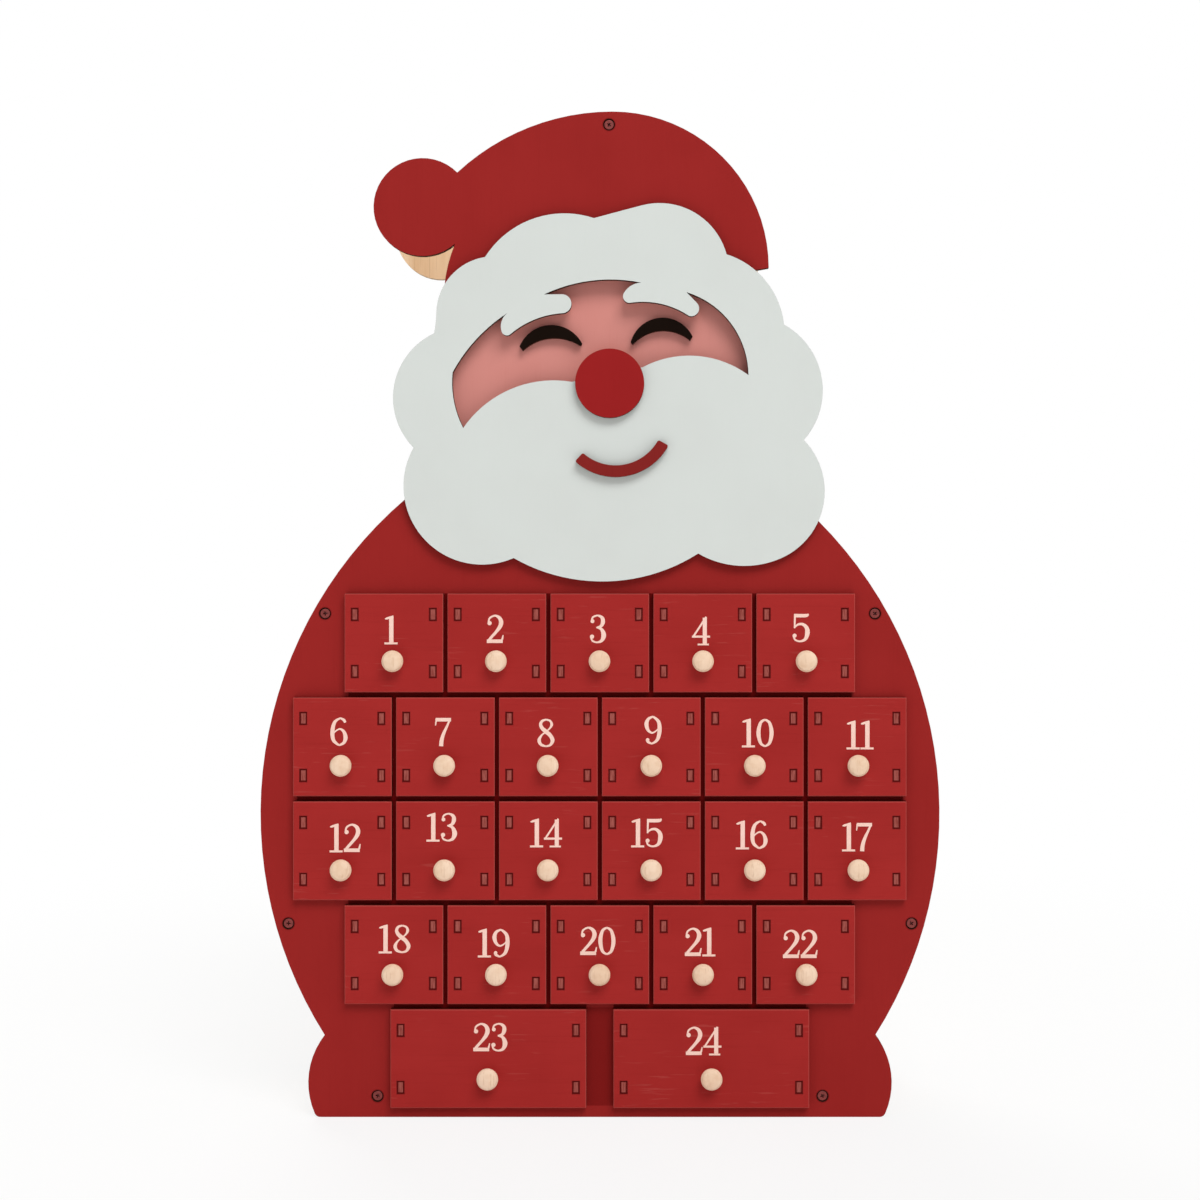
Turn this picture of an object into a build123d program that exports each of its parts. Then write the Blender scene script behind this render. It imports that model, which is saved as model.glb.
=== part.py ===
from build123d import *
import os

# Free-standing wooden advent calendar: a plywood figure with a beard and a pompom hat, whose body
# holds five rows of drawers. X runs to the viewer's right, Y to the back and Z up. The origin is on
# the floor, under the middle of the whole object. All sizes are in millimetres.

# Boards and fits
ply = 3.0                  # thickness of every plywood piece
case_gap = 57.0            # clear depth between the front and back panels
joint_fit = 0.1            # play of a tenon in its mortise, on each side
tenon_recess = 0.3         # how far a tenon's end stays below the face it comes through

# Drawer grid
col_pitch = 41.0           # from one small drawer to the next
row_pitch = 41.4           # from one row to the next
row_counts = (5, 6, 6, 5)  # small drawers in each row, from the top; the wide row is below them
front_gap_x = 1.7          # gap between neighbouring fronts
front_gap_z = 2.1          # gap between a front and the one above it
base_margin = 4.55         # from the floor to the lowest fronts
wide_front_w = 78.0        # width of the two wide fronts
wide_front_gap = 10.8      # gap between the two wide fronts

# Drawers
tray_inset = 2.6           # from a front's edge to the outside of the drawer's side
tray_rise = 2.9            # from a front's lower edge to the underside of the sides
tray_h = 33.0              # height of the sides
tray_back_gap = 3.0        # from the end of the sides to the back panel
tray_tail = 3.0            # length of the sides behind the drawer's back
bottom_lift = 2.0          # height of the bottom board above the sides' lower edges
side_tenon_h = 5.2         # height of the tenons that show in the front
side_tenon_edge = 8.3      # from a front's upper and lower edges to the tenons' middles
back_tenon_h = 12.0        # height of the tenons at the ends of the drawer's back
bottom_tab_l = 16.0        # length of the tabs at the sides of the bottom board
front_seat = 0.2           # gap between a closed front and the panel
slide_clear = 0.2          # gap between a drawer's sides and the shelf under them
hole_side_clear = 0.6      # gap between a drawer's sides and its hole in the panel
hole_top_clear = 0.8       # gap above a drawer's sides in its hole
edge_break = 0.35          # small chamfer round the face of each front

# Knobs
knob_r = 4.25              # largest radius
knob_proud = 5.6           # height above the drawer front
knob_face_r = 3.5          # radius of the domed face
knob_dome_h = 0.6          # height of that dome
knob_slope_h = 0.9         # height of the slope between the dome and the rim
knob_rim_h = 0.9           # height of the upright rim
knob_neck_r = 2.4          # radius where the knob meets the front
knob_neck_h = 1.3          # height of the straight neck
knob_peg_r = 1.7           # radius of the peg glued into the front
knob_drop = 7.0            # from the middle of a front down to its knob

# Shelves and dividers
grid_tab_l = 12.0          # length of the dividers' tabs in the shelves
grid_tab_end = 12.0        # from the ends of a divider to the middles of its tabs
shelf_tenon_w = 22.0       # width of the shelves' tenons in the back panel
shelf_tenon_x = 61.5       # from the centre line to those tenons

# Posts and screws
post_r = 4.0
post_edge = 5.2            # from the figure's edge to the axis of a post
upper_post_gap = 2.0       # between the top row's outer dividers and the upper side posts
upper_post_rise = 11.6     # of those posts, above the middle of the top row
lower_post_rise = 11.8     # of the lower side posts, above the middle of the fourth row
foot_post_gap = 0.6        # between the wide row's outer dividers and the posts in the feet
foot_post_z = 8.4
hat_post_x = 3.6
screw_head_r = 2.25
screw_head_h = 1.4
screw_rim_h = 0.25         # upright rim at the top of the head
screw_shank_r = 1.2
screw_point_l = 2.0
screw_l = 14.0
screw_sink = 0.3           # depth of a screw's head below the panel's face
screw_fit = 0.1            # play round a screw in its hole

# Body and feet
body_side_margin = 12.8    # from the widest row's outer pitch line to the body's edge
body_mid_drop = 6.3        # from the middle of the small rows down to where the body is widest
foot_x = 86.0
foot_z = 13.8
foot_r = 30.7
foot_corner_r = 2.5

# Head: places are measured from the middle of the nose
face_x = 4.0
face_rise = 78.75          # of the nose, above the top shelf
hat_x = 5.0
hat_rise = 109.2
hat_left_r = 91.3
hat_right_r = 62.5
brow_x = -5.0              # of the round forehead under the hat
brow_rise = 34.0
brow_r = 57.5
pom_x = -71.0
pom_rise = 71.0
pom_r = 19.6
nose_r = 13.7
mouth_w = 4.6
mouth_corner_r = 0.8       # round on the four corners of the mouth
window_lap = 1.2           # how far the panel's face hole stays behind the edge of the window
face_lap = 6.0             # how far the face plate reaches past the panel's face hole

# Outlines about the nose, clockwise. Each stroke holds its start and the points that it bends
# through, and it ends where the next one starts. With no such point it is a line, with one it is an
# arc, and with two it is an arc through both that runs on smoothly into a second arc.
beard_strokes = [
    [(-49.7, 50.5), (-31.8, 65.3)],
    [(-6.3, 66.0), (1.1, 68.0), (12.8, 71.1)],
    [(46.5, 51.6), (62.2, 40.9)],
    [(69.4, 23.6), (84.5, 1.9)],
    [(77.3, -22.4), (85.6, -42.2), (67.9, -69.6)],
    [(35.2, -67.6), (-1.2, -78.7)],
    [(-38.3, -69.4), (-73.8, -62.0)],
    [(-78.2, -25.4), (-85.9, -0.5)],
    [(-70.0, 20.1), (-69.4, 23.9), (-69.1, 28.3)],
]
forehead_stroke = [(-26.2, 35.6), (-7.1, 41.1)]
hole_forehead_stroke = [(-24.6, 36.3), (3.0, 42.0)]
right_eyebrow_strokes = [
    [(12.4, 40.3), (8.8, 39.3), (5.6, 36.2)],
    [(8.4, 32.3), (20.6, 31.8)],
    [(31.6, 27.0), (35.2, 28.6), (34.7, 32.2)],
]
cheek_strokes = [
    [(30.5, 36.5), (48.0, 24.4)],
    [(55.2, 3.5), (33.5, 11.2)],
    [(13.0, 6.6)],
    [(-15.1, 0.8), (-39.5, -2.1)],
    [(-58.4, -17.6), (-62.1, -6.9)],
    [(-62.6, 4.6), (-53.5, 17.4)],
]
left_eyebrow_strokes = [
    [(-40.8, 28.2), (-43.3, 24.2), (-43.1, 20.8)],
    [(-39.9, 19.5), (-31.8, 24.8)],
    [(-19.1, 28.1), (-15.3, 31.9)],
    [(-19.1, 35.7)],
]
left_eye_strokes = [
    [(-36.2, 15.2), (-23.8, 23.8)],
    [(-11.2, 16.5)],
    [(-11.8, 15.5), (-23.4, 18.6)],
    [(-35.0, 13.6)],
]
right_eye_strokes = [
    [(8.3, 17.0), (23.0, 26.6)],
    [(33.0, 19.2)],
    [(32.1, 17.7), (22.2, 21.6)],
    [(9.1, 16.1)],
]
mouth_line = [(-12.2, -29.3), (2.1, -34.9), (21.3, -23.6)]

# Depths, worked out so that the origin is midway between the knobs' tips and the back
case_depth = 2 * ply + case_gap
front_reach = front_seat + ply + knob_proud
panel_y = (front_reach - case_depth) / 2
inner_y = panel_y + ply
back_y = inner_y + case_gap
tray_y = panel_y - front_seat

# Drawer sizes
front_w = col_pitch - front_gap_x
front_h = row_pitch - front_gap_z
tray_low = tray_rise - front_h / 2
tray_high = tray_low + tray_h
tray_l = front_seat + ply + case_gap - tray_back_gap
tray_back_y = tray_l - tray_tail - ply
bottom_z = tray_low + bottom_lift
side_tenon_z = front_h / 2 - side_tenon_edge
tenon_l = ply - tenon_recess

# Grid levels, counted from the bottom
row_total = len(row_counts) + 1
first_row_z = base_margin + front_h / 2
first_shelf_top = first_row_z + tray_low - slide_clear
wide_x = (wide_front_w + wide_front_gap) / 2
wide_wall = wide_front_w / 2 - tray_inset + hole_side_clear + ply / 2
front_tab_y = inner_y + grid_tab_end
back_tab_y = back_y - grid_tab_end

# Heights in the head
face_z = first_shelf_top + row_total * row_pitch + face_rise
hat_top = face_z + hat_rise
body_half_w = max(row_counts) / 2 * col_pitch + body_side_margin
body_mid_z = first_row_z + (len(row_counts) + 1) / 2 * row_pitch - body_mid_drop

# The body's sides are arcs that leave room for a post beside the top row
upper_post_x = row_counts[0] / 2 * col_pitch + ply / 2 + upper_post_gap + post_r
upper_post_z = first_row_z + len(row_counts) * row_pitch + upper_post_rise
shoulder_drop = upper_post_z - body_mid_z
shoulder_draw = body_half_w - (upper_post_x + post_edge)
body_arc_r = (shoulder_drop**2 + shoulder_draw**2) / (2 * shoulder_draw)


# Flat outlines: X across and Z up, or Y and Z for boards seen from the side

def block(low_x, high_x, low_z, high_z):
    middle = Pos((low_x + high_x) / 2, (low_z + high_z) / 2)
    return middle * Rectangle(high_x - low_x, high_z - low_z)


def disc(x, z, radius):
    return Pos(x, z) * Circle(radius)


def stroke_edges(points):
    if len(points) == 2:
        return [Line(*points)]
    first = ThreePointArc(*points[:3])
    if len(points) == 3:
        return [first]
    return [first, TangentArc(*points[2:], tangent=first % 1)]


def head_shape(strokes):
    edges = []
    for stroke, after in zip(strokes, strokes[1:] + strokes[:1]):
        edges += stroke_edges(stroke + after[:1])
    return Pos(face_x, face_z) * make_face(edges)


# Boards: a flat outline given thickness

def upright_board(outline, y, thickness=ply):
    return extrude(Plane.XZ.offset(-y) * outline, -thickness).solid()


def side_board(outline, x):
    return extrude(Plane.YZ.offset(x - ply / 2) * outline, ply).solid()


def level_board(outline, z):
    return extrude(Plane.XY.offset(z) * outline, ply).solid()


# The figure

def body_half_at(z):
    lean = body_arc_r - body_half_w
    return (body_arc_r**2 - (z - body_mid_z)**2) ** 0.5 - lean


def body_outline():
    lean = body_arc_r - body_half_w
    sides = disc(-lean, body_mid_z, body_arc_r) & disc(lean, body_mid_z, body_arc_r)
    feet = disc(-foot_x, foot_z, foot_r) + disc(foot_x, foot_z, foot_r)
    above_floor = block(-2 * body_half_w, 2 * body_half_w, 0, hat_top)
    return (sides + feet) & above_floor


def hat_outline():
    top = Vector(hat_x, hat_top)
    pom = Vector(pom_x, face_z + pom_rise)
    brow = Vector(brow_x, face_z + brow_rise)
    left_middle = top - Vector(0, hat_left_r)
    right_middle = top - Vector(0, hat_right_r)
    left_end = left_middle + (pom - left_middle).normalized() * hat_left_r
    left_way = ((left_end + top) / 2 - left_middle).normalized() * hat_left_r
    right_end = right_middle + Vector(hat_right_r, 0)
    right_way = Vector(1, 1).normalized() * hat_right_r
    crown = make_face([
        ThreePointArc(left_end, left_middle + left_way, top),
        ThreePointArc(top, right_middle + right_way, right_end),
        Line(right_end, brow),
        Line(brow, pom),
        Line(pom, left_end),
    ])
    return crown + disc(brow.X, brow.Y, brow_r) + disc(pom.X, pom.Y, pom_r)


def figure_outline():
    figure = body_outline() + hat_outline() + head_shape(beard_strokes)
    floor_corners = figure.vertices().group_by(Axis.Y)[0]
    return fillet(floor_corners, foot_corner_r)


def face_hole_outline():
    return offset(head_shape([hole_forehead_stroke] + cheek_strokes), window_lap)


def window_outline():
    strokes = [forehead_stroke] + right_eyebrow_strokes + cheek_strokes + left_eyebrow_strokes
    return head_shape(strokes)


# Places of the drawers: number, x, height of the middle and width of the front

def row_z(row):
    return first_row_z + (row_total - 1 - row) * row_pitch


def drawer_places():
    places = []
    for row, count in enumerate(row_counts):
        for column in range(count):
            x = (column - (count - 1) / 2) * col_pitch
            places.append((len(places) + 1, x, row_z(row), front_w))
    for x in (-wide_x, wide_x):
        places.append((len(places) + 1, x, row_z(row_total - 1), wide_front_w))
    return places


def divider_places(row):
    if row < len(row_counts):
        count = row_counts[row]
        return [(line - count / 2) * col_pitch for line in range(count + 1)]
    return [middle + side * wide_wall for middle in (-wide_x, wide_x) for side in (-1, 1)]


def tray_width(width):
    return width - 2 * tray_inset


# One drawer, about the middle of its front, with Y from the back face of the front

def drawer_front(width):
    outline = Rectangle(width, front_h) - disc(0, -knob_drop, knob_peg_r + joint_fit)
    side_x = (tray_width(width) - ply) / 2
    for x in (-side_x, side_x):
        for z in (-side_tenon_z, side_tenon_z):
            outline -= Pos(x, z) * Rectangle(ply + 2 * joint_fit, side_tenon_h + 2 * joint_fit)
    board = upright_board(outline, -ply)
    face = board.faces().sort_by(Axis.Y)[0]
    return chamfer(face.outer_wire().edges(), edge_break).solid()


def drawer_side(x):
    outline = block(0, tray_l, tray_low, tray_high)
    for z in (-side_tenon_z, side_tenon_z):
        outline += block(-tenon_l, 0, z - side_tenon_h / 2, z + side_tenon_h / 2)
    tray_mid = (tray_low + tray_high) / 2
    tenon_half = back_tenon_h / 2 + joint_fit
    outline -= block(tray_back_y - joint_fit, tray_back_y + ply + joint_fit,
                     tray_mid - tenon_half, tray_mid + tenon_half)
    tab_half = bottom_tab_l / 2 + joint_fit
    outline -= block(tray_back_y / 2 - tab_half, tray_back_y / 2 + tab_half,
                     bottom_z - joint_fit, bottom_z + ply + joint_fit)
    return side_board(outline, x)


def drawer_back(inner_half):
    tray_mid = (tray_low + tray_high) / 2
    tenon_half = back_tenon_h / 2
    outline = block(-inner_half, inner_half, tray_low, tray_high)
    outline += block(-inner_half - tenon_l, inner_half + tenon_l,
                     tray_mid - tenon_half, tray_mid + tenon_half)
    return upright_board(outline, tray_back_y)


def drawer_bottom(inner_half):
    tab_half = bottom_tab_l / 2
    outline = block(-inner_half, inner_half, 0, tray_back_y)
    outline += block(-inner_half - tenon_l, inner_half + tenon_l,
                     tray_back_y / 2 - tab_half, tray_back_y / 2 + tab_half)
    return level_board(outline, bottom_z)


def drawer_boards(width):
    side_x = (tray_width(width) - ply) / 2
    inner_half = side_x - ply / 2
    return [
        drawer_front(width),
        drawer_side(-side_x),
        drawer_side(side_x),
        drawer_back(inner_half),
        drawer_bottom(inner_half),
    ]


def knob():
    tip = (0, -knob_proud)
    face_y = knob_dome_h - knob_proud
    rim_y = face_y + knob_slope_h
    profile = make_face([
        Polyline(
            tip,
            (0, tenon_l),
            (knob_peg_r, tenon_l),
            (knob_peg_r, 0),
            (knob_neck_r, 0),
            (knob_neck_r, -knob_neck_h),
            (knob_r, rim_y + knob_rim_h),
            (knob_r, rim_y),
            (knob_face_r, face_y),
        ),
        TangentArc(tip, (knob_face_r, face_y), tangent=(1, 0)),
    ])
    return Pos(0, -ply, -knob_drop) * revolve(profile, Axis.Y).solid()


# The grid behind the front panel

def shelf_top(level):
    return first_shelf_top + level * row_pitch


def shelf(level):
    above = divider_places(row_total - 1 - level) if level < row_total else []
    below = divider_places(row_total - level) if level > 0 else []
    half = max(above + below) + ply / 2
    outline = block(-half, half, inner_y, back_y)
    for x in (-shelf_tenon_x, shelf_tenon_x):
        outline += block(x - shelf_tenon_w / 2, x + shelf_tenon_w / 2, back_y, back_y + tenon_l)
    for places, y in ((above, front_tab_y), (below, back_tab_y)):
        for x in places:
            outline -= Pos(x, y) * Rectangle(ply + 2 * joint_fit, grid_tab_l + 2 * joint_fit)
    return level_board(outline, shelf_top(level) - ply)


def divider(row, x):
    low = shelf_top(row_total - 1 - row)
    high = low + row_pitch - ply
    outline = block(inner_y, back_y, low, high)
    outline += block(front_tab_y - grid_tab_l / 2, front_tab_y + grid_tab_l / 2, low - tenon_l, low)
    outline += block(back_tab_y - grid_tab_l / 2, back_tab_y + grid_tab_l / 2, high, high + tenon_l)
    return side_board(outline, x)


# Posts and the screws that hold the panels on them

def post_places():
    places = [(hat_post_x, hat_top - post_edge)]
    foot_post_x = wide_x + wide_wall + ply / 2 + foot_post_gap + post_r
    lower_z = row_z(len(row_counts) - 1) + lower_post_rise
    for side in (-1, 1):
        places.append((side * upper_post_x, upper_post_z))
        places.append((side * (body_half_at(lower_z) - post_edge), lower_z))
        places.append((side * foot_post_x, foot_post_z))
    return places


def screw_blank(play, top):
    cone_end = screw_sink + screw_head_h
    profile = make_face(Polyline(
        (0, top),
        (screw_head_r + play, top),
        (screw_head_r + play, screw_sink + screw_rim_h),
        (screw_shank_r + play, cone_end),
        (screw_shank_r + play, screw_l - screw_point_l + play),
        (0, screw_l + play),
        close=True,
    ))
    return revolve(profile, Axis.Y).solid()


def front_screw_sites():
    return [Pos(x, panel_y, z) for x, z in post_places()]


def back_screw_sites():
    return [Pos(x, back_y + ply, z) * Rotation(0, 0, 180) for x, z in post_places()]


def screws():
    blank = screw_blank(0, screw_sink)
    return [site * blank for site in front_screw_sites() + back_screw_sites()]


def drilled(piece, sites):
    return (piece - [site * screw_blank(screw_fit, 0) for site in sites]).solid()


def posts():
    made = []
    for (x, z), *sites in zip(post_places(), front_screw_sites(), back_screw_sites()):
        rod = upright_board(disc(x, z, post_r), inner_y, case_gap)
        made.append(drilled(rod, sites))
    return made


# The two panels

def front_panel():
    outline = figure_outline() - face_hole_outline()
    for number, x, z, width in drawer_places():
        half = tray_width(width) / 2 + hole_side_clear
        low = z + tray_low - slide_clear
        high = z + tray_high + hole_top_clear
        outline -= block(x - half, x + half, low, high)
    return drilled(upright_board(outline, panel_y), front_screw_sites())


def back_panel():
    outline = figure_outline()
    for level in range(row_total + 1):
        low = shelf_top(level) - ply - joint_fit
        high = shelf_top(level) + joint_fit
        for x in (-shelf_tenon_x, shelf_tenon_x):
            half = shelf_tenon_w / 2 + joint_fit
            outline -= block(x - half, x + half, low, high)
    return drilled(upright_board(outline, back_y), back_screw_sites())


# The head's glued pieces

def beard_plate():
    outline = head_shape(beard_strokes) - window_outline()
    return upright_board(outline, panel_y - ply)


def face_plate():
    return upright_board(offset(face_hole_outline(), face_lap), inner_y)


def nose():
    return upright_board(disc(face_x, face_z, nose_r), panel_y - 2 * ply)


def mouth():
    line = ThreePointArc(*mouth_line)
    edges = []
    for side in (-1, 1):
        shift = side * mouth_w / 2
        points = [line @ t + (line % t).rotate(Axis.Z, 90) * shift for t in (0, 0.5, 1)]
        edges.append(ThreePointArc(*points))
    ends = [Line(edges[0] @ t, edges[1] @ t) for t in (0, 1)]
    strip = make_face(edges + ends)
    strip = Pos(face_x, face_z) * fillet(strip.vertices(), mouth_corner_r)
    return upright_board(strip, panel_y - 2 * ply)


def eye(strokes):
    return upright_board(head_shape(strokes), panel_y)


def all_nodes():
    nodes = {
        "front_panel": [front_panel()],
        "back_panel": [back_panel()],
        "beard_plate": [beard_plate()],
        "face_plate": [face_plate()],
        "nose": [nose()],
        "mouth": [mouth()],
        "left_eye": [eye(left_eye_strokes)],
        "right_eye": [eye(right_eye_strokes)],
        "shelves": [shelf(level) for level in range(row_total + 1)],
        "dividers": [divider(row, x) for row in range(row_total) for x in divider_places(row)],
        "posts": posts(),
        "panel_screws": screws(),
    }
    boards = {width: drawer_boards(width) for width in (front_w, wide_front_w)}
    turned_knob = knob()
    for number, x, z, width in drawer_places():
        place = Pos(x, tray_y, z)
        nodes[f"drawer_{number:02d}_box"] = [place * board for board in boards[width]]
        nodes[f"drawer_{number:02d}_knob"] = [place * turned_knob]
    return nodes


def main():
    os.makedirs("parts", exist_ok=True)
    for name, solids in all_nodes().items():
        shape = solids[0] if len(solids) == 1 else Compound(children=solids)
        export_step(shape, f"parts/{name}.step")


main()
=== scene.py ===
import math
import bmesh
import bpy
from mathutils import Matrix, Vector


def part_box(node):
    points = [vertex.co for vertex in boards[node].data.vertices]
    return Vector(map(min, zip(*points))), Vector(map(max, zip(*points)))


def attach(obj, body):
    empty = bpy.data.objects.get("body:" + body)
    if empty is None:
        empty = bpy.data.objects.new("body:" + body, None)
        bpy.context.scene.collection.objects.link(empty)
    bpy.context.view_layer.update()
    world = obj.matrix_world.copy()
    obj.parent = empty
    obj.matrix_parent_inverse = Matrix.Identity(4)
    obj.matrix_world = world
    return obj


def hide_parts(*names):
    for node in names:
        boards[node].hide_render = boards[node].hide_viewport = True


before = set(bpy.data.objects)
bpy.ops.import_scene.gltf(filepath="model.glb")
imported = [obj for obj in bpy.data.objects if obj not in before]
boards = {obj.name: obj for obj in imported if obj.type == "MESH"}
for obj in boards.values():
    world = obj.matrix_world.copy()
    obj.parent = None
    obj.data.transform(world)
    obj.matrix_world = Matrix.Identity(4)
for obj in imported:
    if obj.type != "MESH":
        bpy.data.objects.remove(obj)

# Looks for the wooden advent calendar: painted plywood, bare plywood, turned knobs, stuck-on numerals.
# Lengths in the dictionaries are in millimetres, those of the studio in metres.
# Colours are 0 to 255, as a paint chart gives them.

mm = 0.001
xAxis, yAxis, zAxis = range(3)
drawerNumbers = range(1, 25)
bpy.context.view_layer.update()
print("frame loaded:", len(boards), "nodes")


def shade(red, green, blue):
    # chart colour to the renderer's linear colour
    parts = [value / 255 for value in (red, green, blue)]
    return tuple(p / 12.92 if p <= 0.04045 else ((p + 0.055) / 1.055) ** 2.4 for p in parts) + (1.0,)


def lengths(values):
    return [value * mm for value in values]


class Wire:
    # one output of a shader node; sums written with it become Math nodes

    def __init__(self, nodes, socket):
        self.nodes = nodes
        self.socket = socket

    def sum(self, operation, first, second=0.0):
        return self.nodes.add("ShaderNodeMath", {"operation": operation}, {0: first, 1: second})

    def __add__(self, other):
        return self.sum("ADD", self, other)

    def __radd__(self, other):
        return self.sum("ADD", other, self)

    def __sub__(self, other):
        return self.sum("SUBTRACT", self, other)

    def __rsub__(self, other):
        return self.sum("SUBTRACT", other, self)

    def __mul__(self, other):
        return self.sum("MULTIPLY", self, other)

    def __rmul__(self, other):
        return self.sum("MULTIPLY", other, self)

    def __abs__(self):
        return self.sum("ABSOLUTE", self)

    def __gt__(self, other):
        return self.sum("GREATER_THAN", self, other)

    def __lt__(self, other):
        return self.sum("LESS_THAN", self, other)

    def atLeast(self, other):
        return self.sum("MAXIMUM", self, other)


class Nodes:
    # the shader nodes of a material or of the world

    def __init__(self, tree):
        self.tree = tree

    def add(self, kind, settings, sockets, output=0):
        node = self.tree.nodes.new(kind)
        for name, value in settings.items():
            setattr(node, name, value)
        self.feed(node, sockets)
        return Wire(self, node.outputs[output])

    def feed(self, node, sockets):
        for name, value in sockets.items():
            if isinstance(value, Wire):
                self.tree.links.new(value.socket, node.inputs[name])
            else:
                node.inputs[name].default_value = value

    def shown(self):
        # 1 where the camera, a reflection or a glass shows the background itself
        kinds = ("Is Camera Ray", "Is Glossy Ray", "Is Transmission Ray")
        camera, glossy, glass = (self.add("ShaderNodeLightPath", {}, {}, kind) for kind in kinds)
        return camera.atLeast(glossy).atLeast(glass)


class Finish(Nodes):
    # a material, with the place and the direction of its surface at hand

    def __init__(self, name):
        self.material = bpy.data.materials.new(name)
        self.material.use_nodes = True
        super().__init__(self.material.node_tree)
        self.shader = self.tree.nodes["Principled BSDF"]
        self.place = self.add("ShaderNodeTexCoord", {}, {}, "Object")
        self.x, self.y, self.z = self.split(self.place)
        self.nx, self.ny, self.nz = self.split(self.add("ShaderNodeTexCoord", {}, {}, "Normal"))

    def split(self, vector):
        return [self.add("ShaderNodeSeparateXYZ", {}, {0: vector}, axis) for axis in range(3)]

    def stretched(self, across, deep, up):
        # the place on the piece, with each axis given its own scale
        sockets = {0: self.place, 1: (across, deep, up)}
        return self.add("ShaderNodeVectorMath", {"operation": "MULTIPLY"}, sockets)

    def noise(self, vector, scale, detail=3.0, roughness=0.55):
        sockets = {"Vector": vector, "Scale": scale, "Detail": detail, "Roughness": roughness}
        return self.add("ShaderNodeTexNoise", {}, sockets)

    def fade(self, value, low, high):
        # 0 below low, 1 above high, with a smooth change between
        sockets = {"Value": value, "From Min": low, "From Max": high}
        return self.add("ShaderNodeMapRange", {"interpolation_type": "SMOOTHSTEP"}, sockets)

    def mix(self, factor, first, second, blend="MIX"):
        settings = {"data_type": "RGBA", "blend_type": blend, "clamp_factor": True}
        return self.add("ShaderNodeMix", settings, {0: factor, 6: first, 7: second}, 2)

    def relief(self, height, strength, distance):
        return self.add("ShaderNodeBump", {}, {"Height": height, "Strength": strength, "Distance": distance})

    def surface(self, sockets):
        self.feed(self.shader, sockets)
        return self.material


# Grain, cut edges and scorch marks that the plywood finishes share

plywood = {
    "layer": 1.0,                      # thickness of one of the three veneers
    "core": (0.85, 1.05),              # depth at which the middle veneer begins, with a soft change
    "eased": 0.2,                      # width of the eased rim along a cut edge
    "weld": 0.002,                     # seams up to this wide are closed before edges are eased
    "bandStretch": 0.12,               # scale of the grain along its run, against 1 across it
    "poreStretch": 0.035,
    "bandScale": 95.0,
    "poreScale": 1500.0,
    "sootScale": 420.0,
    "sootShare": 0.6,
    "panelBurn": 0.5,                  # how dark the cut edges of the back panel are
    "gridBurn": 0.9,                   # and those of the shelves and dividers
    "veneer": shade(239, 209, 173),
    "veneerDark": shade(221, 184, 143),
    "pore": shade(182, 142, 101),
    "cut": shade(46, 25, 17),          # laser-cut edge
    "cutCore": shade(92, 57, 36),      # the middle veneer of that edge
    "scorchAndShade": shade(86, 8, 8),         # paint darkened by the laser; round the screws it is painted shade
    "soot": shade(28, 13, 9),
}


def grainFigure(finish, along, offset=0.0):
    # broad bands and fine pores that run along one axis, 0 to 1
    scales = [[1.0, 1.0, 1.0], [1.0, 1.0, 1.0]]
    scales[0][along] = plywood["bandStretch"]
    scales[1][along] = plywood["poreStretch"]
    broadPlace = finish.add("ShaderNodeVectorMath", {"operation": "MULTIPLY_ADD"},
                            {0: finish.place, 1: scales[0], 2: (offset, offset, offset)})
    bands = finish.noise(broadPlace, plywood["bandScale"], 4.0, 0.6)
    pores = finish.noise(finish.stretched(*scales[1]), plywood["poreScale"], 2.0, 0.5)
    return finish.fade(bands, 0.32, 0.7), finish.fade(pores, 0.56, 0.72)


def cutFace(finish, normal):
    # 1 where a board is cut through
    return 1 - finish.fade(abs(normal), 0.6, 0.93)


def cutVeneers(finish, depth):
    # the burnt colour of a cut edge, lighter on the middle veneer
    fromFace = finish.add("ShaderNodeMath", {"operation": "PINGPONG"},
                          {0: depth, 1: 1.5 * plywood["layer"] * mm})
    core = finish.fade(fromFace, *lengths(plywood["core"]))
    soot = finish.noise(finish.place, plywood["sootScale"])
    colour = finish.mix(core, plywood["cut"], plywood["cutCore"])
    return finish.mix(finish.fade(soot, 0.45, 0.75) * plywood["sootShare"], colour, plywood["soot"])


def bareWood(finish, along, offset=0.0):
    # unpainted veneer with its grain along one axis, and where its pores are
    bands, pores = grainFigure(finish, along, offset)
    tone = finish.mix(bands, plywood["veneer"], plywood["veneerDark"])
    return finish.mix(pores * 0.3, tone, plywood["pore"]), pores


# Painted boards

paint = {
    "roughness": 0.6,
    "gloss": 0.06,                     # specular level of the matt paint
    "gapShade": shade(108, 4, 4),       # painted shade on the panel in the gaps between the drawer fronts and behind them
    "stripShade": 0.56,                # share of that painted shade on the strip between the wide drawers
    "gapShadeMargin": 1.0,              # how far that stays inside the outer fronts' edges
    "scorchAndShade": (2.2, 3.0),              # radii between which the painted shade of a screw's countersink fades
    "screwShadeShare": 0.8,
    "cloudScale": 28.0,
    "brushScale": 2600.0,
}


def paintedWood(finish, colour, worn, grain, along=zAxis, offset=0.0):
    # thin paint: the grain of the plywood still shows faintly
    bands, pores = grainFigure(finish, along, offset)
    clouds = finish.fade(finish.noise(finish.place, paint["cloudScale"], 2.0), 0.35, 0.7)
    tone = finish.mix(bands * (0.4 * grain) + clouds * 0.4, colour, worn)
    tone = finish.mix(pores * (0.1 * grain), tone, worn, "MULTIPLY")
    brush = finish.noise(finish.place, paint["brushScale"], 2.0)
    height = brush * 0.35 - pores * (0.5 * grain)
    roughness = paint["roughness"] - 0.06 + bands * 0.07 + brush * 0.08
    return tone, roughness, height


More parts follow.
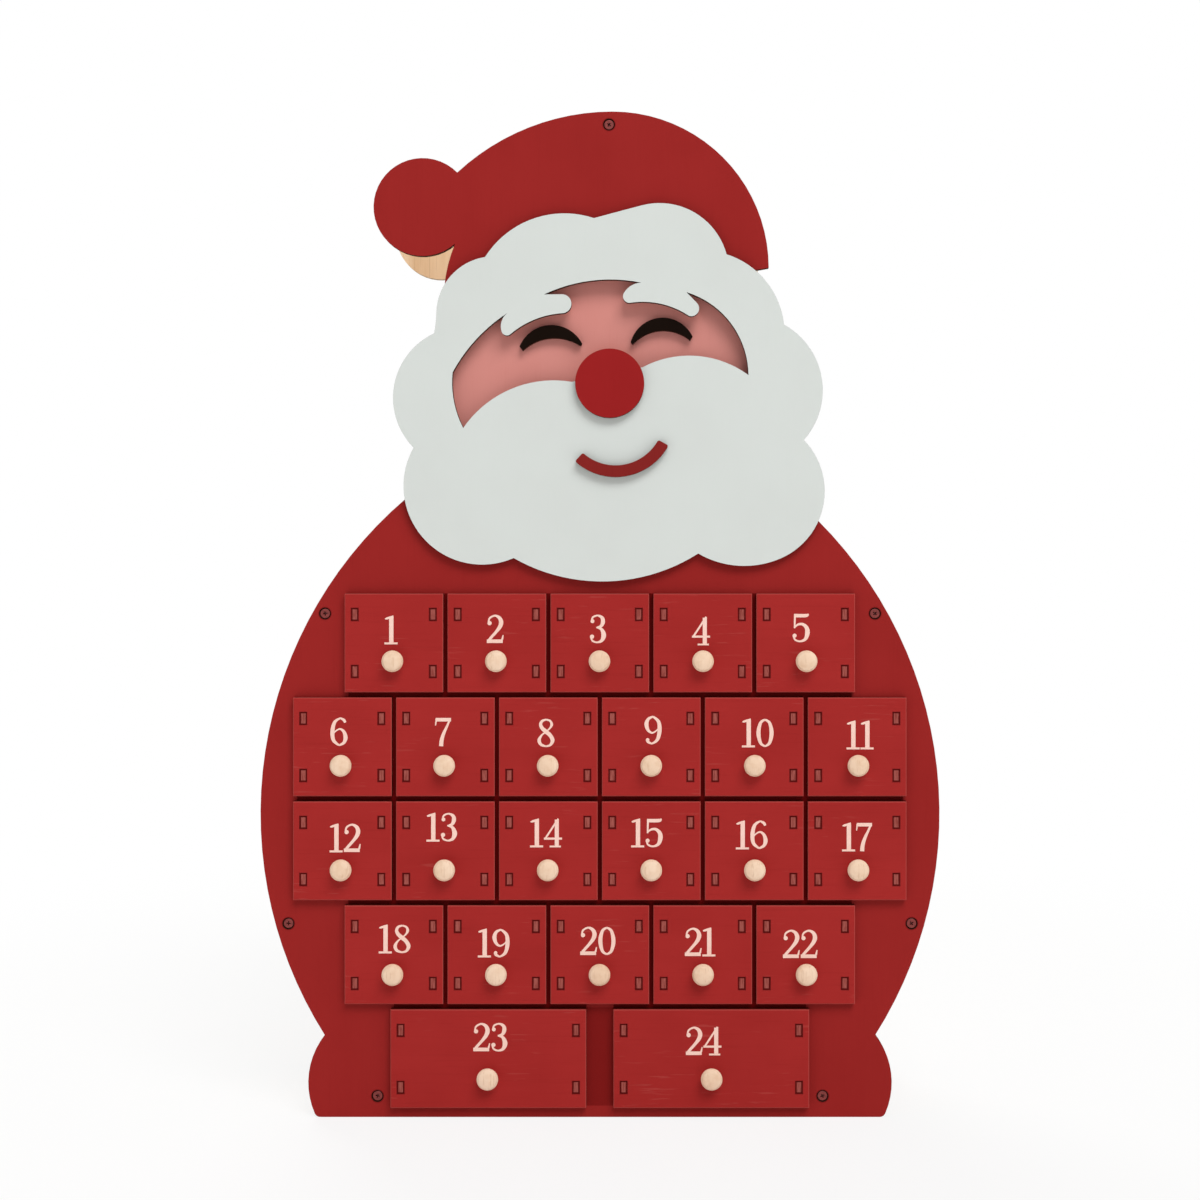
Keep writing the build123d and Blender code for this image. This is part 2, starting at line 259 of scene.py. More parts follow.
def paintedBoard(name, look, front, screwShadeSites=(), gapShade=()):
    # an upright board painted on its front, with a bare back and bare cut edges
    finish = Finish(name)
    tone, roughness, height = paintedWood(finish, look["colour"], look["worn"], look["grain"])
    edge = cutFace(finish, finish.ny)
    # painted shade in the gaps between the drawer fronts, and on the panel behind them
    for darkness, inner, outer, low, high in gapShade:
        across = abs(finish.x)
        inGapShade = (across > inner) * (across < outer) * (finish.z > low) * (finish.z < high)
        tone = finish.mix(inGapShade * darkness, tone, paint["gapShade"])
    # a dark ring painted round each screw: painted shade of its countersink
    for x, z in screwShadeSites:
        sockets = {0: finish.place, 1: (x, front, z)}
        away = finish.add("ShaderNodeVectorMath", {"operation": "DISTANCE"}, sockets, 1)
        burnAndShade = 1 - finish.fade(away, *lengths(paint["scorchAndShade"]))
        tone = finish.mix(burnAndShade * paint["screwShadeShare"], tone, plywood["scorchAndShade"])
    rear = finish.fade(finish.ny, 0.3, 0.6)
    tone = finish.mix(rear, tone, bareWood(finish, zAxis)[0])
    return finish.surface({
        "Base Color": finish.mix(edge, tone, cutVeneers(finish, finish.y - front)),
        "Roughness": roughness + edge * 0.25,
        "Normal": finish.relief(height, 0.2, 0.05 * mm),
        "Specular IOR Level": look.get("gloss", paint["gloss"]),
    })


def bareBoard(name, normalAxis, along, burnt, depthStart=0.0):
    # unpainted plywood; normalAxis is the axis through the board, burnt says how dark its edges are
    finish = Finish(name)
    tone, pores = bareWood(finish, along)
    normal = (finish.nx, finish.ny, finish.nz)[normalAxis]
    depth = (finish.x, finish.y, finish.z)[normalAxis] - depthStart
    burnAndShade = cutFace(finish, normal) * burnt
    return finish.surface({
        "Base Color": finish.mix(burnAndShade, tone, cutVeneers(finish, depth)),
        "Roughness": 0.6 + pores * 0.15,
        "Normal": finish.relief(1 - pores, 0.3, 0.05 * mm),
        "Specular IOR Level": 0.2,
    })


def dress(node, material):
    piece = boards[node]
    piece.data.materials.clear()
    piece.data.materials.append(material)


def easeEdges(node, width, segments=2, angle=35):
    # a small round on the sharp edges, as sanding leaves it
    piece = boards[node]
    weld = piece.modifiers.new("weld", "WELD")
    weld.merge_threshold = plywood["weld"] * mm
    bevel = piece.modifiers.new("eased edges", "BEVEL")
    bevel.width = width * mm
    bevel.segments = segments
    bevel.limit_method = "ANGLE"
    bevel.angle_limit = math.radians(angle)
    bevel.use_clamp_overlap = True
    bevel.harden_normals = True


screws = {
    "headRadius": 2.0,
    "rimRound": 0.18,
    "headDepth": 1.4,
    "shankRadius": 1.2,
    "length": 14.0,
    "point": 2.0,
    "sink": 0.3,
    "recessArm": 1.0,                  # half the span of the cross recess
    "recessWidth": 0.56,
    "recessDepth": 0.9,
    "recessTaper": 0.45,               # width of its floor against its mouth
    "recessFrom": 0.25,                # depth below the head from which the recess is painted dark, as painted shade
    "firstTurn": 35,                   # degrees that the first cross is turned, and each next one more
    "nextTurn": 50,
    "rubbedMetal": 0.25,               # metallic share where the paint is rubbed
    "zincMetal": 0.6,
    "face": shade(134, 52, 47),        # painted over with the panel, and rubbed
    "faceDark": shade(104, 31, 28),
    # painted shade: dark red on the sloping rim of the head and in the cross recess
    "recess": shade(84, 6, 5),
    "zinc": shade(186, 181, 172),      # bare screws in the back panel
    # darker zinc for tarnish spots, and painted shade in the recess
    "zincTarnishAndShade": shade(112, 107, 100),
    "sites": [(3.6, 397.0), (-110.0, 201.4), (110.0, 201.4), (-124.65, 77.4), (124.65, 77.4),
              (-89.0, 8.4), (89.0, 8.4)],
}

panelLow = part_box("front_panel")[0]
backLow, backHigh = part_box("back_panel")
screwPlaces = [(x * mm, z * mm) for x, z in screws["sites"]]


def isWide(low, high):
    # the two drawers of the lowest row
    return high.x - low.x > 60 * mm


def coveredAreas():
    # painted shade behind and between the drawer fronts: darkness, inner and outer distance from the middle,
    # lower and upper edge of each area
    rows = {}
    for number in drawerNumbers:
        low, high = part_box(f"drawer_{number:02d}_box")
        inner, outer = sorted((abs(low.x), abs(high.x)))
        start = inner if isWide(low, high) else -1
        rows[low.z] = (1.0, start, outer - paint["gapShadeMargin"] * mm, low.z, high.z)
    rows = [rows[z] for z in sorted(rows)]
    strip = (paint["stripShade"], -1, rows[0][1], rows[0][3], rows[0][4])    # between the two wide drawers
    gaps = [(1.0, max(lower[1], upper[1]), min(lower[2], upper[2]), lower[4], upper[3])
            for lower, upper in zip(rows, rows[1:])]
    return rows + gaps + [strip]


plates = {
    "front_panel": {"colour": shade(157, 38, 36), "worn": shade(149, 34, 32), "grain": 0.45},
    "beard_plate": {"colour": shade(219, 224, 220), "worn": shade(215, 219, 215), "grain": 0.2},
    "face_plate": {"colour": shade(221, 146, 137), "worn": shade(214, 137, 128), "grain": 0.3},
    "nose": {"colour": shade(156, 31, 32), "worn": shade(148, 28, 29), "grain": 0.4},
    "mouth": {"colour": shade(137, 37, 34), "worn": shade(127, 32, 30), "grain": 0.6},
    "left_eye": {"colour": shade(18, 8, 3), "worn": shade(28, 16, 10), "grain": 0.5, "gloss": 0.04},
    "right_eye": {"colour": shade(18, 8, 3), "worn": shade(28, 16, 10), "grain": 0.5, "gloss": 0.04},
}
for node, look in plates.items():
    marks = (screwPlaces, coveredAreas()) if node == "front_panel" else ()
    dress(node, paintedBoard(node + "_paint", look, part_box(node)[0].y, *marks))
for node in ("front_panel", "beard_plate", "nose", "mouth"):
    easeEdges(node, plywood["eased"], segments=1)
dress("back_panel", bareBoard("back_plywood", yAxis, zAxis, plywood["panelBurn"], backLow.y))
dress("dividers", bareBoard("divider_plywood", xAxis, yAxis, plywood["gridBurn"]))
dress("shelves", bareBoard("shelf_plywood", zAxis, xAxis, plywood["gridBurn"]))
print("panels, plates and grid finished")


# Drawers: a red front on a bare tray

drawer = {
    "board": 3.0,                      # thickness of the front
    "tenonX": 15.55,                   # middle of the tenon ends, from the middle of a small front
    "wideTenonX": 34.9,
    "tenonZ": 11.35,
    "tenonHalfWidth": 1.6,
    "tenonHalfHeight": 2.7,
    "tenonStretch": (6.0, 1.0, 0.6),   # end grain of a tenon
    "tenonScale": 400.0,
    "ringStart": (-0.8, -0.6),         # scorched ring on a tenon's end, from its edge inwards
    "ringEnd": (-0.3, -0.1),
    "paintLap": (-0.45, -0.2),         # where the paint laps on to that end
    "sunkFrom": 0.2,                   # depth from which a face counts as a tenon's end
    "rimHeight": 15.5,                 # just inside the upper and lower edges of the sides
    "tailRim": 0.5,                    # depth of the burnt rear ends of the sides
    "margin": 0.05,                    # keeps the red off the rear face of a front
    "edgeScorch": 0.85,
    "grain": 0.7,                      # how clearly the grain shows through the paint
    "grainShift": 0.37,                # moves the grain on from one front to the next
    "scratchStretch": 0.07,            # scratches run across a front
    "scratchScale": 900.0,
    "scratchSpread": 45.0,
    "red": shade(169, 44, 42),
    "redWorn": shade(159, 39, 37),
    "wornAndHighlit": shade(184, 82, 76),      # paint worn thin in the scratches; on the eased edges of a front it is a painted highlight
    "scratched": 0.3,                  # how far the paint is gone in the fine scratches
    "tenon": shade(166, 88, 80),
    "tenonDark": shade(140, 62, 55),
}
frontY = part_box("drawer_01_box")[0].y
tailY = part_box("drawer_01_box")[1].y


def drawerFinish(number, middleX, middleZ, tenonX):
    finish = Finish(f"drawer_{number:02d}_paint")
    offset = drawer["grainShift"] * number
    toFront = 0 - finish.ny
    red, roughness, height = paintedWood(finish, drawer["red"], drawer["redWorn"], drawer["grain"],
                                         xAxis, offset)
    lines = finish.noise(finish.stretched(drawer["scratchStretch"], 1.0, 1.0), drawer["scratchScale"], 2.0)
    spread = finish.noise(finish.place, drawer["scratchSpread"], 1.0)
    scratches = finish.fade(lines, 0.62, 0.7) * finish.fade(spread, 0.5, 0.62)
    red = finish.mix(scratches * drawer["scratched"], red, drawer["wornAndHighlit"])
    # a lighter red on the eased edges of the front: a painted highlight
    edgeHighlight = finish.fade(toFront, 0.5, 0.65) * (1 - finish.fade(toFront, 0.8, 0.95))
    red = finish.mix(edgeHighlight * 0.6, red, drawer["wornAndHighlit"])
    across = abs(abs(finish.x - middleX) - tenonX) - drawer["tenonHalfWidth"] * mm
    upright = abs(abs(finish.z - middleZ) - drawer["tenonZ"] * mm) - drawer["tenonHalfHeight"] * mm
    away = across.atLeast(upright)     # distance outside a tenon's end, negative on it
    burnt = finish.fade(away, *lengths(drawer["ringStart"]))
    burnt = burnt * (1 - finish.fade(away, *lengths(drawer["ringEnd"])))
    red = finish.mix(burnt * 0.9, red, plywood["scorchAndShade"])

    wood, pores = bareWood(finish, zAxis, offset)
    rim = finish.fade(abs(finish.nz), 0.4, 0.7) * (abs(finish.z - middleZ) > drawer["rimHeight"] * mm)
    tail = finish.fade(finish.ny, 0.4, 0.7) * (finish.y > tailY - drawer["tailRim"] * mm)
    wood = finish.mix(rim.atLeast(tail), wood, plywood["cut"])

    stripes = finish.noise(finish.stretched(*drawer["tenonStretch"]), drawer["tenonScale"])
    end = finish.mix(finish.fade(stripes, 0.4, 0.65), drawer["tenon"], drawer["tenonDark"])
    end = finish.mix(finish.fade(away, *lengths(drawer["paintLap"])), end, red)
    end = finish.mix(burnt, end, plywood["scorchAndShade"])

    board = finish.y < frontY + (drawer["board"] - drawer["margin"]) * mm
    facing = finish.fade(toFront, 0.3, 0.6)
    sunk = (finish.y > frontY + drawer["sunkFrom"] * mm) * (finish.ny < -0.9)
    side = board * (1 - facing)
    cutColour = finish.mix(drawer["edgeScorch"], cutVeneers(finish, finish.y - frontY), plywood["scorchAndShade"])
    colour = finish.mix(board * facing, wood, red)
    colour = finish.mix(side, colour, cutColour)
    colour = finish.mix(sunk * board, colour, end)
    return finish.surface({
        "Base Color": colour,
        "Roughness": roughness + (1 - board) * 0.1,
        "Normal": finish.relief(height, 0.2, 0.05 * mm),
        "Specular IOR Level": paint["gloss"],
    })


drawerMiddles = {}
for number in drawerNumbers:
    low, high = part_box(f"drawer_{number:02d}_box")
    middle = (low + high) / 2
    drawerMiddles[number] = middle
    tenonX = drawer["wideTenonX" if isWide(low, high) else "tenonX"] * mm
    dress(f"drawer_{number:02d}_box", drawerFinish(number, middle.x, middle.z, tenonX))
print("drawers finished:", len(drawerMiddles))


# Turned wood: knobs and posts

turned = {
    "pale": shade(250, 221, 194),
    "dark": shade(232, 194, 160),
    "fleck": shade(204, 160, 120),
    "ringStretch": 0.25,
    "ringScale": 380.0,
    "knobRound": 0.5,
}


def turnedWood(name, along):
    finish = Finish(name)
    bands, pores = grainFigure(finish, along)
    rings = finish.noise(finish.stretched(1.0, turned["ringStretch"], 1.0), turned["ringScale"], 2.0)
    tone = finish.mix(bands * 0.55 + finish.fade(rings, 0.4, 0.7) * 0.35, turned["pale"], turned["dark"])
    tone = finish.mix(pores * 0.35, tone, turned["fleck"])
    return finish.surface({
        "Base Color": tone,
        "Roughness": 0.45 + bands * 0.08,
        "Normal": finish.relief(1 - pores, 0.2, 0.04 * mm),
        "Specular IOR Level": 0.25,
    })


knobWood = turnedWood("knob_wood", zAxis)
for number in drawerMiddles:
    knob = f"drawer_{number:02d}_knob"
    dress(knob, knobWood)
    easeEdges(knob, turned["knobRound"], segments=3, angle=20)
dress("posts", turnedWood("post_wood", yAxis))
print("knobs and posts finished")


# Screws with a cross recess, in place of the plain ones

def lathe(bm, profile, segments=40):
    # turns (radius, depth) points about the Y axis
    rings = []
    for radius, depth in profile:
        if radius == 0:
            rings.append([bm.verts.new((0, depth, 0))])
            continue
        turn = [2 * math.pi * step / segments for step in range(segments)]
        rings.append([bm.verts.new((radius * math.cos(a), depth, radius * math.sin(a))) for a in turn])
    for near, far in zip(rings, rings[1:]):
        for step in range(segments):
            after = (step + 1) % segments
            corners = [near[step % len(near)], near[after % len(near)],
                       far[after % len(far)], far[step % len(far)]]
            bm.faces.new(list(dict.fromkeys(corners)))


def meshFrom(bm, name):
    bmesh.ops.recalc_face_normals(bm, faces=bm.faces)
    mesh = bpy.data.meshes.new(name)
    bm.to_mesh(mesh)
    bm.free()
    return mesh


def addPiece(name, mesh, material, body):
    piece = bpy.data.objects.new(name, mesh)
    bpy.context.scene.collection.objects.link(piece)
    piece.data.materials.append(material)
    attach(piece, body)
    return piece


def screwMesh():
    top, head, rim = lengths(screws[name] for name in ("sink", "headRadius", "rimRound"))
    headDepth, shank, length, point = lengths(
        screws[name] for name in ("headDepth", "shankRadius", "length", "point"))
    arm, width, recessDepth = lengths(screws[name] for name in ("recessArm", "recessWidth", "recessDepth"))
    bm = bmesh.new()
    lathe(bm, [
        (0, top + rim * 0.2),
        (head - 2.5 * rim, top + rim * 0.15),
        (head - rim, top + rim * 0.3),
        (head - rim * 0.3, top + rim * 0.7),
        (head, top + rim * 1.6),
        (shank, top + headDepth),
        (shank, length - point),
        (0, length),
    ])
    blank = bpy.data.objects.new("screw_blank", meshFrom(bm, "screw_blank"))
    tool = bmesh.new()
    half, deep, taper = width / 2, top + recessDepth, screws["recessTaper"]
    outline = [(half, arm), (half, half), (arm, half)]
    for quarter in range(3):
        outline += [(z, -x) for x, z in outline[-3:]]
    upper = [tool.verts.new((x, 0, z)) for x, z in outline]
    lower = [tool.verts.new((x * taper, deep, z * taper)) for x, z in outline]
    tool.faces.new(upper)
    tool.faces.new(lower)
    for step in range(len(outline)):
        tool.faces.new([upper[step - 1], upper[step], lower[step], lower[step - 1]])
    cutter = bpy.data.objects.new("screw_recess", meshFrom(tool, "screw_recess"))
    for piece in (blank, cutter):
        bpy.context.scene.collection.objects.link(piece)
    recess = blank.modifiers.new("recess", "BOOLEAN")
    recess.object = cutter
    recess.solver = "EXACT"
    mesh = bpy.data.meshes.new_from_object(blank.evaluated_get(bpy.context.evaluated_depsgraph_get()))
    bpy.data.objects.remove(blank)
    bpy.data.objects.remove(cutter)
    return mesh


def screwFinish():
    finish = Finish("screw_metal")
    spots = finish.fade(finish.noise(finish.place, 900.0), 0.4, 0.7)
    face = finish.fade(abs(finish.ny), 0.8, 0.97)
    sunk = (screws["sink"] + screws["recessFrom"]) * mm
    recessShade = (finish.y > panelLow.y + sunk) * (finish.y < backHigh.y - sunk)
    rear = finish.y > (panelLow.y + backHigh.y) / 2
    colour = finish.mix(spots, screws["face"], screws["faceDark"])
    # the sloping rim and the walls and floor of the cross recess get painted shade
    colour = finish.mix((1 - face).atLeast(recessShade), colour, screws["recess"])
    zinc = finish.mix(spots.atLeast(recessShade), screws["zinc"], screws["zincTarnishAndShade"])
    return finish.surface({
        "Base Color": finish.mix(rear, colour, zinc),
        "Metallic": (1 - spots) * screws["rubbedMetal"] + rear * screws["zincMetal"],
        "Roughness": 0.42 + spots * 0.2,
        "Normal": finish.relief(spots, 0.2, 0.03 * mm),
    })


one = screwMesh()
many = bmesh.new()
for index, (x, z) in enumerate(screwPlaces):
    turn = Matrix.Rotation(math.radians(screws["firstTurn"] + screws["nextTurn"] * index), 4, "Y")
    seats = (Matrix.Translation((x, panelLow.y, z)) @ turn,
             Matrix.Translation((x, backHigh.y, z)) @ Matrix.Rotation(math.pi, 4, "Z") @ turn)
    for seat in seats:
        copy = one.copy()
        copy.transform(seat)
        many.from_mesh(copy)
        bpy.data.meshes.remove(copy)
screwPiece = addPiece("cross_screws", meshFrom(many, "cross_screws"), screwFinish(), "case")
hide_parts("panel_screws")
print("screws made:", 2 * len(screwPlaces))


# Numerals: stuck-on serif figures. A stroke is a list of (across, up, width), in parts of the height.

numeral = {
    "height": 11.6,
    "weight": 0.78,                    # boldness of the strokes
    "thickness": 0.12,
    "sunk": 0.02,                      # how far they reach into the front, so that no gap shows
    "overlap": 0.006,                  # each stroke stands this much higher than the one before
    "rise": 5.6,                       # usual height of the middle above the middle of a front
    "gap": 0.03,                       # between two figures, in parts of the height
    "cream": shade(255, 217, 202),
    "creamWorn": shade(254, 211, 195),
    "shifts": {                        # they were stuck on by eye: right and up of the usual place
        1: (-1.1, -0.4), 2: (-0.7, 0), 3: (-0.7, 0), 4: (-0.7, -0.8), 5: (-1.9, 0.4), 6: (-1.3, 0.4),
        7: (-0.9, 0.4), 8: (-0.9, 0), 9: (0.7, 1.2), 10: (1.5, 0), 11: (1.1, -0.8), 12: (1.1, -0.4),
        13: (-1.3, 3.9), 14: (-0.9, 1.6), 15: (-1.7, 1.6), 16: (-0.9, 0.8), 17: (-0.1, 0), 18: (0.5, 0.8),
        19: (-1.1, -0.8), 20: (-0.7, 0), 21: (-1.1, -0.4), 22: (-2.3, -1.2), 23: (0.9, 3.1), 24: (-3.1, 1.6),
    },
}

sixWidth = 0.63
sixStrokes = [
    [(0.53, 0.82, 0.1), (0.49, 0.9, 0.12), (0.42, 0.945, 0.095), (0.335, 0.96, 0.08), (0.165, 0.83, 0.14),
     (0.092, 0.53, 0.18), (0.125, 0.22, 0.15), (0.315, 0.04, 0.08)],
    [(0.315, 0.04, 0.08), (0.48, 0.13, 0.13), (0.54, 0.31, 0.18), (0.48, 0.51, 0.13), (0.35, 0.6, 0.08),
     (0.21, 0.535, 0.06), (0.12, 0.43, 0.05)],
]
figures = {
    0: {"width": 0.63, "strokes": [
        [(0.315, 0.96, 0.08), (0.47, 0.84, 0.13), (0.54, 0.5, 0.18), (0.47, 0.16, 0.13), (0.315, 0.04, 0.08)],
        [(0.315, 0.04, 0.08), (0.16, 0.16, 0.13), (0.09, 0.5, 0.18), (0.16, 0.84, 0.13),
         (0.315, 0.96, 0.08)]]},
    1: {"width": 0.45, "strokes": [
        [(0.236, 0.02, 0.19), (0.236, 0.955, 0.19)],
        [(0.02, 0.88, 0.05), (0.12, 0.905, 0.1), (0.305, 0.98, 0.05)],
        [(0.0, 0.038, 0.085), (0.45, 0.038, 0.085)]]},
    2: {"width": 0.58, "balls": [(0.105, 0.7, 0.072)], "strokes": [
        [(0.065, 0.72, 0.07), (0.11, 0.87, 0.08), (0.285, 0.955, 0.085), (0.44, 0.88, 0.15),
         (0.5, 0.73, 0.19), (0.455, 0.57, 0.17), (0.33, 0.4, 0.13), (0.17, 0.22, 0.12), (0.085, 0.12, 0.12)],
        [(0.01, 0.078, 0.155), (0.555, 0.078, 0.155)],
        [(0.535, 0.13, 0.09), (0.57, 0.29, 0.045)]]},
    3: {"width": 0.59, "balls": [(0.105, 0.765, 0.066), (0.09, 0.235, 0.072)], "strokes": [
        [(0.07, 0.77, 0.06), (0.12, 0.9, 0.08), (0.28, 0.96, 0.075), (0.43, 0.89, 0.14), (0.465, 0.75, 0.18),
         (0.4, 0.6, 0.13), (0.24, 0.545, 0.06)],
        [(0.24, 0.555, 0.06), (0.41, 0.49, 0.13), (0.49, 0.29, 0.21), (0.42, 0.1, 0.14), (0.26, 0.04, 0.075),
         (0.11, 0.09, 0.08), (0.045, 0.21, 0.06)]]},
    4: {"width": 0.62, "strokes": [
        [(0.44, 0.02, 0.18), (0.44, 0.955, 0.18)],
        [(0.195, 0.035, 0.075), (0.58, 0.035, 0.075)],
        [(0.0, 0.305, 0.09), (0.62, 0.305, 0.09)],
        [(0.035, 0.29, 0.08), (0.49, 0.985, 0.08)]]},
    5: {"width": 0.61, "balls": [(0.085, 0.235, 0.07)], "strokes": [
        [(0.07, 0.925, 0.15), (0.3, 0.92, 0.15), (0.5, 0.93, 0.14), (0.56, 0.985, 0.05)],
        [(0.1, 0.97, 0.09), (0.085, 0.49, 0.07)],
        [(0.08, 0.51, 0.05), (0.2, 0.615, 0.09), (0.36, 0.625, 0.12), (0.495, 0.51, 0.17), (0.525, 0.33, 0.2),
         (0.455, 0.12, 0.14), (0.28, 0.04, 0.08), (0.11, 0.09, 0.08), (0.045, 0.21, 0.06)]]},
    6: {"width": sixWidth, "strokes": sixStrokes},
    7: {"width": 0.55, "strokes": [
        [(0.03, 0.92, 0.155), (0.55, 0.92, 0.155)],
        [(0.045, 0.95, 0.07), (0.02, 0.72, 0.045)],
        [(0.515, 0.93, 0.08), (0.415, 0.7, 0.1), (0.3, 0.45, 0.14), (0.23, 0.22, 0.17),
         (0.21, 0.01, 0.185)]]},
    8: {"width": 0.64, "strokes": [
        [(0.33, 0.96, 0.075), (0.19, 0.91, 0.11), (0.135, 0.79, 0.14), (0.19, 0.66, 0.16),
         (0.32, 0.545, 0.18), (0.46, 0.42, 0.17), (0.545, 0.25, 0.17), (0.47, 0.09, 0.11),
         (0.32, 0.04, 0.075)],
        [(0.32, 0.04, 0.075), (0.15, 0.1, 0.12), (0.085, 0.25, 0.15), (0.17, 0.42, 0.08), (0.33, 0.55, 0.06),
         (0.46, 0.67, 0.08), (0.515, 0.79, 0.12), (0.465, 0.91, 0.09), (0.33, 0.96, 0.075)]]},
    9: {"width": sixWidth, "balls": [(0.13, 0.16, 0.06)],
        "strokes": [[(sixWidth - x, 1 - z, width) for x, z, width in stroke] for stroke in sixStrokes]},
}


def smoothLine(points, steps=8):
    # a soft curve through the points, widths included
    knots = [Vector(p) for p in points]
    if len(knots) == 2:
        return knots
    last = len(knots) - 1
    line = []
    for span in range(last):
        a, b, c, d = (knots[min(max(span + step, 0), last)] for step in (-1, 0, 1, 2))
        for step in range(steps):
            t = step / steps
            line.append(0.5 * (2 * b + (c - a) * t + (2 * a - 5 * b + 4 * c - d) * t * t
                               + (3 * b - a - 3 * c + d) * t ** 3))
    return line + [knots[last]]


def addRibbon(bm, line, spot, face, back):
    # a flat band of changing width, standing proud from back to face
    rims = []
    for index, point in enumerate(line):
        before, after = line[max(index - 1, 0)], line[min(index + 1, len(line) - 1)]
        way = (after - before).xy.normalized()
        aside = Vector((-way.y, way.x)) * point.z / 2 * numeral["weight"]
        edges = [spot(point.xy + aside), spot(point.xy - aside)]
        rims.append([bm.verts.new((x, y, z)) for x, z in edges for y in (face, back)])
    for near, far in zip(rims, rims[1:]):
        bm.faces.new([near[0], near[2], far[2], far[0]])
        bm.faces.new([near[0], far[0], far[1], near[1]])
        bm.faces.new([near[2], near[3], far[3], far[2]])
        bm.faces.new([near[1], far[1], far[3], near[3]])
    first, last = rims[0], rims[-1]
    bm.faces.new([first[0], first[1], first[3], first[2]])
    bm.faces.new([last[2], last[3], last[1], last[0]])


def addBall(bm, x, z, radius, spot, face, back, steps=28):
    turn = [2 * math.pi * step / steps for step in range(steps)]
    rim = [spot(Vector((x + radius * math.cos(a), z + radius * math.sin(a)))) for a in turn]
    front = [bm.verts.new((x, face, z)) for x, z in rim]
    rear = [bm.verts.new((x, back, z)) for x, z in rim]
    bm.faces.new(front)
    bm.faces.new(rear[::-1])
    for step in range(steps):
        bm.faces.new([front[step - 1], rear[step - 1], rear[step], front[step]])


def numeralMesh(number, middle):
    # each stroke stands a hair higher than the one before, so that overlaps never flicker
    size = numeral["height"] * mm
    digits = [int(character) for character in str(number)]
    total = sum(figures[digit]["width"] for digit in digits) + numeral["gap"] * (len(digits) - 1)
    left = -total / 2
    bm = bmesh.new()
    for digit in digits:
        figure = figures[digit]

        def spot(point, start=left):
            return middle.x + (start + point.x) * size, middle.z + (point.y - 0.5) * size

        face = middle.y - numeral["thickness"] * mm
        back = middle.y + numeral["sunk"] * mm
        for stroke in figure["strokes"]:
            addRibbon(bm, smoothLine(stroke), spot, face, back)
            face -= numeral["overlap"] * mm
        for x, z, radius in figure.get("balls", []):
            addBall(bm, x, z, radius, spot, face, back)
            face -= numeral["overlap"] * mm
        left += figure["width"] + numeral["gap"]
    mesh = bpy.data.meshes.new(f"numeral_{number:02d}")
    bm.to_mesh(mesh)
    bm.free()
    return mesh


def numeralFinish():
    finish = Finish("cream_print")
    patches = finish.fade(finish.noise(finish.place, 260.0), 0.35, 0.7)
    fine = finish.noise(finish.place, 2400.0)
    return finish.surface({
        "Base Color": finish.mix(patches, numeral["cream"], numeral["creamWorn"]),
        "Roughness": 0.42 + patches * 0.12,
        "Normal": finish.relief(fine, 0.08, 0.02 * mm),
        "Specular IOR Level": 0.4,
    })


cream = numeralFinish()
for number, middle in drawerMiddles.items():
    right, up = numeral["shifts"][number]
    spot = Vector((middle.x + right * mm, frontY, middle.z + (numeral["rise"] + up) * mm))
    addPiece(f"numeral_{number:02d}", numeralMesh(number, spot), cream, f"drawer_{number:02d}")
print("numerals made:", len(drawerMiddles))


# Floor, light and camera

studio = {
    "floorSize": 12.0,
    "floor": shade(248, 248, 247),
    "floorDark": shade(238, 238, 236),
    "nearGlow": 0.8,                   # share of plain white that the camera sees near the object
    "clearFrom": 0.25,                 # metres from the middle, where the floor starts to turn plain white
    "clearTo": 0.6,
    "sky": 0.4,
    "lamps": {                         # place, width, height and power of each soft lamp
        "key": ((1.1, -2.6, 3.3), 2.7, 1.9, 102.0),
        "back": ((-0.9, 2.4, 2.0), 2.2, 1.6, 40.0),
    },
    "lampAim": (0.0, 0.0, 0.2),
    "cameraAway": 0.672,               # from the front panel
    "cameraX": 0.020,
    "cameraZ": 0.230,
    "sensor": 36,                      # width of the sensor and length of the lens, in millimetres
    "lens": 50.4,
    "clipStart": 0.01,
    "shift": (-0.04167, -0.04833),
}


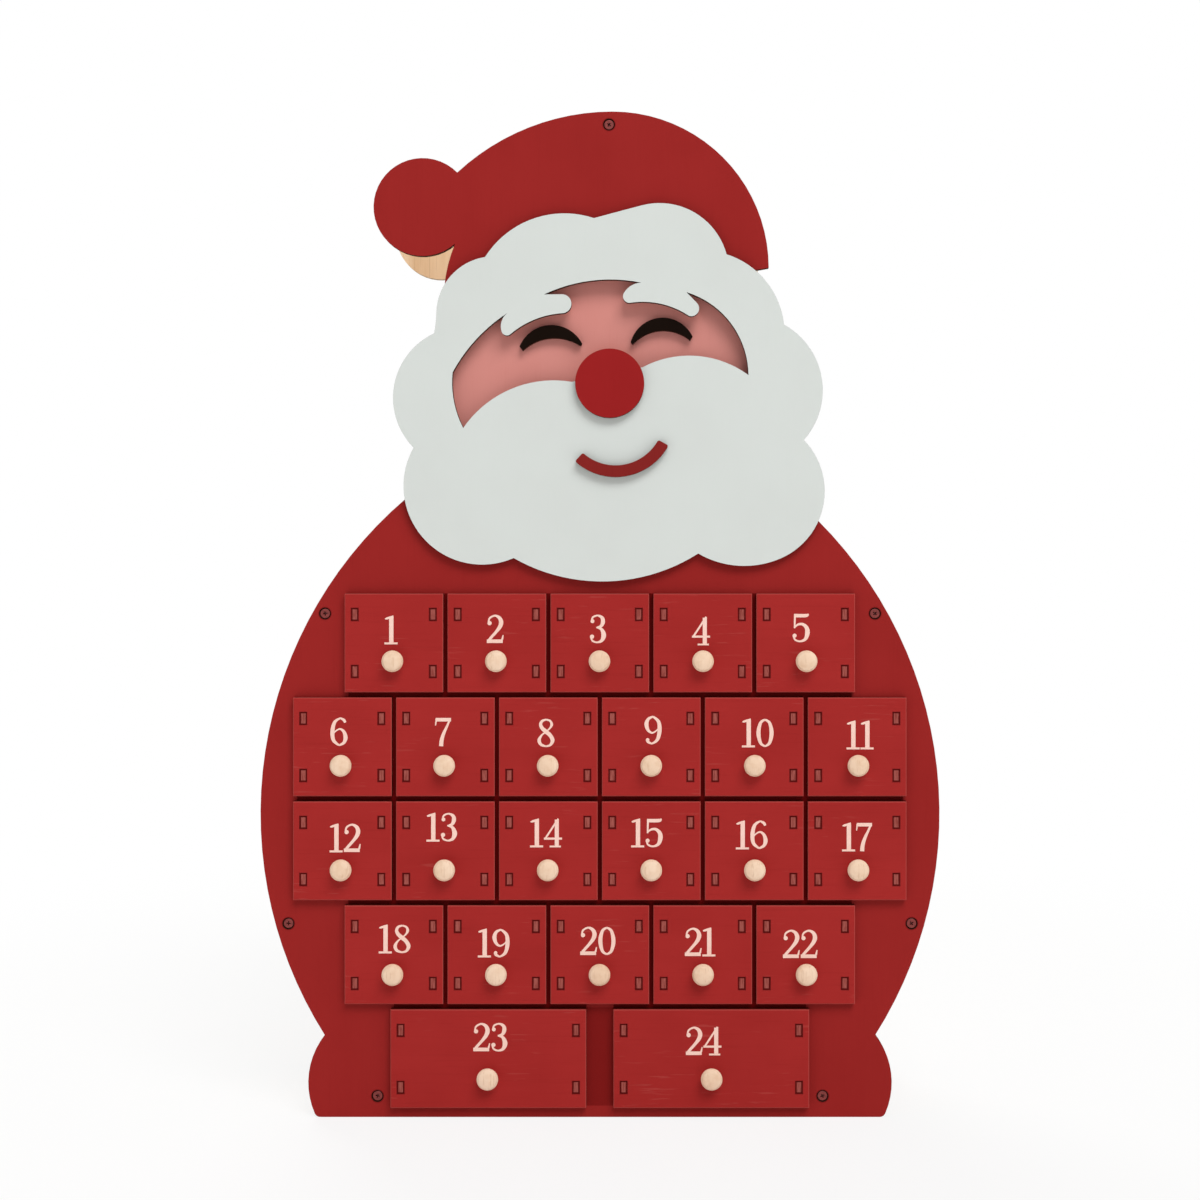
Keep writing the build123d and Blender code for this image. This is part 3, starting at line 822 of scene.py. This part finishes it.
def addFloor():
    bm = bmesh.new()
    half = studio["floorSize"] / 2
    bmesh.ops.create_grid(bm, x_segments=8, y_segments=8, size=half)
    piece = bpy.data.objects.new("floor", meshFrom(bm, "floor"))
    bpy.context.scene.collection.objects.link(piece)
    finish = Finish("pale_floor")
    mottle = finish.noise(finish.place, 6.0)
    finish.surface({
        "Base Color": finish.mix(mottle * 0.15, studio["floor"], studio["floorDark"]),
        "Roughness": 0.85,
        "Specular IOR Level": 0.1,
    })
    away = finish.add("ShaderNodeVectorMath", {"operation": "LENGTH"}, {0: finish.place}, 1)
    beyond = finish.fade(away, studio["clearFrom"], studio["clearTo"])
    clear = beyond * (1 - studio["nearGlow"]) + studio["nearGlow"]
    glow = finish.add("ShaderNodeEmission", {}, {"Color": (1, 1, 1, 1), "Strength": 1.0})
    lit = Wire(finish, finish.shader.outputs[0])
    both = finish.add("ShaderNodeMixShader", {}, {0: finish.shown() * clear, 1: lit, 2: glow})
    finish.feed(finish.tree.nodes["Material Output"], {"Surface": both})
    piece.data.materials.append(finish.material)


def addWorld():
    world = bpy.data.worlds.new("studio")
    bpy.context.scene.world = world
    world.use_nodes = True
    sky = Nodes(world.node_tree)
    strength = sky.shown() * (1 - studio["sky"]) + studio["sky"]
    sky.feed(sky.tree.nodes["Background"], {"Color": (1, 1, 1, 1), "Strength": strength})


def addLamps():
    for name, (place, width, height, power) in studio["lamps"].items():
        lamp = bpy.data.lights.new(name, "AREA")
        lamp.shape = "RECTANGLE"
        lamp.size, lamp.size_y = width, height
        lamp.energy = power
        piece = bpy.data.objects.new(name, lamp)
        piece.location = place
        aim = Vector(studio["lampAim"]) - Vector(place)
        piece.rotation_euler = aim.to_track_quat("-Z", "Y").to_euler()
        bpy.context.scene.collection.objects.link(piece)


def addCamera():
    lens = bpy.data.cameras.new("photo_view")
    lens.sensor_width = studio["sensor"]
    lens.lens = studio["lens"]
    lens.shift_x, lens.shift_y = studio["shift"]
    lens.clip_start = studio["clipStart"]
    piece = bpy.data.objects.new("photo_view", lens)
    piece.location = (studio["cameraX"], panelLow.y - studio["cameraAway"], studio["cameraZ"])
    piece.rotation_euler = (math.pi / 2, 0, 0)
    bpy.context.scene.collection.objects.link(piece)
    bpy.context.scene.camera = piece


addFloor()
addWorld()
addLamps()
addCamera()
bpy.context.scene.view_settings.view_transform = "Standard"
print("stage, light and camera set")
